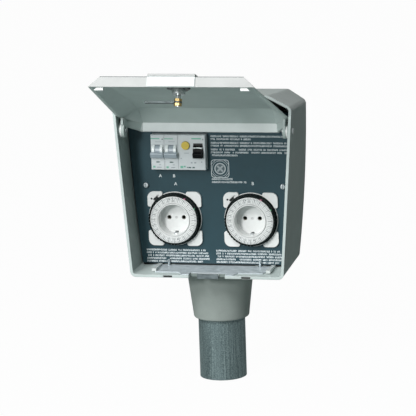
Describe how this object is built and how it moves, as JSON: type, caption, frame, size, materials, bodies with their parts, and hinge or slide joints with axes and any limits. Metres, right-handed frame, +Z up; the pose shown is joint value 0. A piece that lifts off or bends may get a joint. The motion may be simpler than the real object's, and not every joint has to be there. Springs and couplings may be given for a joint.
{
  "type": "car heater outlet",
  "caption": "Post-mounted car heater outlet: cast housing with a hinged lid over a panel with timer sockets, breakers and a residual current device.",
  "frame": {"origin": "centre of the post's cut lower end", "axes": "+X to the right of someone who faces the open front, +Y to the back, +Z up the post"},
  "size_m": [0.2278, 0.2783, 0.4287],
  "materials": {
    "cast_housing": "grey cast finish, satin",
    "cast_lid": "grey cast finish, satin",
    "cast_collar": "grey cast finish, satin",
    "galvanised_tube": "weathered zinc, vertical streaks",
    "steel_fasteners": "zinc plated",
    "black_steel": "black oxide",
    "floor_metal": "brushed sheet",
    "dark_zinc": "dark zinc, worn",
    "panel_paint": "dark blue-grey, satin, printed",
    "nylon": "white nylon",
    "bumper_rubber": "white rubber",
    "grommet_rubber": "black rubber",
    "device_plastic": "pale grey, satin",
    "lever_plastic": "blue grey",
    "toggle_plastic": "black",
    "button_plastic": "yellow",
    "terminal_plastic": "grey",
    "timer_plastic": "white, satin",
    "ring_plastic": "black",
    "case_plastic": "pale grey",
    "contact_brass": "bright",
    "spring_steel": "bright nickel",
    "lock_zinc": "satin chrome",
    "lock_brass": "machined"
  },
  "bodies": {
    "head": {"post_tube": "galvanised_tube", "post_collar": "cast_collar", "collar_grub_screws": "black_steel", "collar_bolts": "steel_fasteners", "housing": "cast_housing", "cable_grommet": "grommet_rubber", "hinge_pin_left": "steel_fasteners", "hinge_pin_right": "steel_fasteners", "hinge_washers": "nylon", "floor_plate": "floor_metal", "floor_clips": "steel_fasteners", "panel_stop_pins": "steel_fasteners", "lock_strike": "dark_zinc", "notch_edging": "grommet_rubber", "drain_plugs": "grommet_rubber", "front_panel": "panel_paint", "panel_screws": "steel_fasteners", "din_rail": "steel_fasteners", "rail_screws": "steel_fasteners", "rail_latches": "terminal_plastic", "rail_terminals": "terminal_plastic", "earth_stud": "contact_brass", "earth_nuts": "contact_brass", "breaker_a_body": "device_plastic", "breaker_b_body": "device_plastic", "residual_device_body": "device_plastic", "timer_a_base": "timer_plastic", "timer_a_socket": "timer_plastic", "timer_a_contacts": "contact_brass", "timer_a_earth_clips": "spring_steel", "timer_a_case": "case_plastic", "timer_a_case_frame": "case_plastic", "timer_b_base": "timer_plastic", "timer_b_socket": "timer_plastic", "timer_b_contacts": "contact_brass", "timer_b_earth_clips": "spring_steel", "timer_b_case": "case_plastic", "timer_b_case_frame": "case_plastic"},
    "lid": {"lid": "cast_lid", "lid_bumpers": "bumper_rubber", "lock_barrel": "lock_zinc", "lock_barrel_nut": "lock_zinc"},
    "lock": {"lock_plug": "lock_zinc", "lock_lever": "black_steel", "lock_brass_nuts": "lock_brass"},
    "breaker_a": {"breaker_a_lever": "lever_plastic"},
    "breaker_b": {"breaker_b_lever": "lever_plastic"},
    "residual_device": {"residual_device_lever": "toggle_plastic"},
    "test_button": {"test_button": "button_plastic"},
    "timer_a_dial": {"timer_a_tappet_ring": "ring_plastic", "timer_a_dial": "timer_plastic"},
    "timer_b_dial": {"timer_b_tappet_ring": "ring_plastic", "timer_b_dial": "timer_plastic"},
    "timer_a_switch": {"timer_a_switch": "ring_plastic"},
    "timer_b_switch": {"timer_b_switch": "ring_plastic"}
  },
  "joints": [
    {"name": "lid_hinge", "type": "hinge", "parent": "head", "child": "lid", "pos_m": [0, -0.065, 0.332], "axis": [1, 0, 0], "range_deg": [0, 112]},
    {"name": "lock_turn", "type": "hinge", "parent": "lid", "child": "lock", "pos_m": [0, -0.19805, 0.38576], "axis": [0, 0.3746, 0.9272], "range_deg": [0, 90]},
    {"name": "breaker_a_toggle", "type": "hinge", "parent": "head", "child": "breaker_a", "pos_m": [-0.06645, -0.0365, 0.3012], "axis": [-1, 0, 0], "range_deg": [0, 48]},
    {"name": "breaker_b_toggle", "type": "hinge", "parent": "head", "child": "breaker_b", "pos_m": [-0.04885, -0.0365, 0.3012], "axis": [-1, 0, 0], "range_deg": [0, 48]},
    {"name": "residual_device_toggle", "type": "hinge", "parent": "head", "child": "residual_device", "pos_m": [-0.014, -0.0365, 0.3012], "axis": [-1, 0, 0], "range_deg": [0, 48]},
    {"name": "test_button_press", "type": "slide", "parent": "head", "child": "test_button", "axis": [0, 1, 0], "range_m": [0, 0.0018], "stiffness_N_per_m": 400},
    {"name": "timer_a_dial_turn", "type": "hinge", "parent": "head", "child": "timer_a_dial", "pos_m": [-0.0494, -0.03, 0.2123], "axis": [0, -1, 0], "continuous": true},
    {"name": "timer_b_dial_turn", "type": "hinge", "parent": "head", "child": "timer_b_dial", "pos_m": [0.0494, -0.03, 0.2123], "axis": [0, -1, 0], "continuous": true},
    {"name": "timer_a_switch_slide", "type": "slide", "parent": "head", "child": "timer_a_switch", "axis": [0.766, 0, 0.6428], "range_m": [0, 0.003]},
    {"name": "timer_b_switch_slide", "type": "slide", "parent": "head", "child": "timer_b_switch", "axis": [0.766, 0, 0.6428], "range_m": [0, 0.003]}
  ]
}
